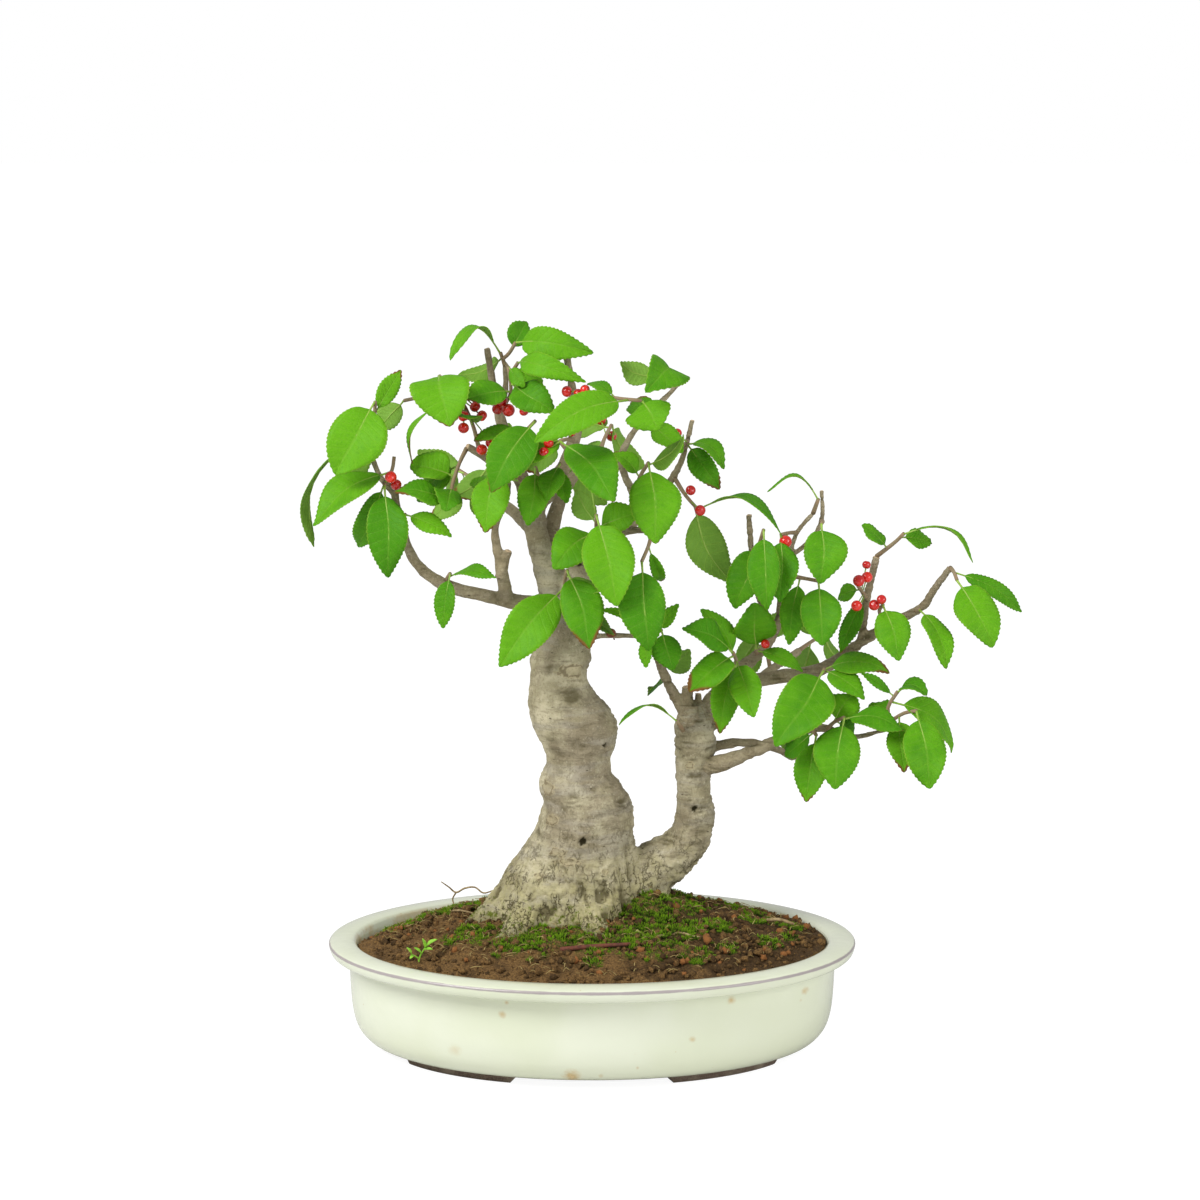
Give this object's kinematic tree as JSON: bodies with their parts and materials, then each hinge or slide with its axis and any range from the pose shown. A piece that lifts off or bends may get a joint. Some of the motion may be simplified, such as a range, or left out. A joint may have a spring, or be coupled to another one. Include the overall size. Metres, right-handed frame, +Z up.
{
  "type": "japanese winterberry bonsai in a pot",
  "caption": "Miniature winterberry tree with toothed leaves and red berries, rooted in domed soil in a shallow glazed oval pot on low feet.",
  "frame": {"origin": "on the ground, under the middle of the whole object's box", "axes": "+X along the pot's long axis, towards the second trunk and the long right arm; +Y away from the front; +Z up"},
  "size_m": [0.3256, 0.186, 0.3312],
  "materials": {
    "glaze": "gloss",
    "screen": "matte",
    "earth": "matte",
    "bark": "matte",
    "leaf": "satin",
    "weed": "satin",
    "stick": "matte"
  },
  "bodies": {
    "root": {"pot": "glaze", "drain_screen_left": "screen", "drain_screen_right": "screen", "soil": "earth", "tree": "bark", "spray_left_tip": "leaf", "spray_left_low": "leaf", "spray_left_high": "leaf", "spray_cut_branch": "leaf", "spray_left_bend": "leaf", "spray_left_under": "leaf", "spray_top_left": "leaf", "spray_berry_twig": "leaf", "spray_inner_left": "leaf", "spray_lower_left": "leaf", "spray_fork_front": "leaf", "spray_fork_right": "leaf", "spray_top_middle": "leaf", "spray_middle_front": "leaf", "spray_high_right": "leaf", "spray_right_edge": "leaf", "spray_right_upper": "leaf", "spray_right_back_leaves": "leaf", "spray_right_arch": "leaf", "spray_level_tip": "leaf", "spray_right_fork_front": "leaf", "spray_trunk_front": "leaf", "spray_low_twig": "leaf", "spray_shoot_tip": "leaf", "spray_second_front": "leaf", "spray_riser_front": "leaf", "spray_riser_up": "leaf", "spray_right_top": "leaf", "spray_right_top_berry": "leaf", "spray_right_top_arch": "leaf", "spray_right_round": "leaf", "spray_right_round_low": "leaf", "spray_arm_berries": "leaf", "spray_far_twig": "leaf", "spray_far_right": "leaf", "spray_right_under": "leaf", "spray_right_inner_berries": "leaf", "spray_low_right_tip": "leaf", "spray_arm_front": "leaf", "spray_low_arm_front": "leaf", "spray_low_arm_under": "leaf", "spray_back_left_tip": "leaf", "spray_back_left_side": "leaf", "spray_back_middle_tip": "leaf", "spray_back_middle_side": "leaf", "spray_back_right_tip": "leaf", "spray_back_right_side": "leaf", "spray_back_arm_tip": "leaf", "spray_back_trunk": "leaf", "spray_back_shoot": "leaf", "seedling": "weed", "fallen_twig": "stick"}
  },
  "joints": []
}
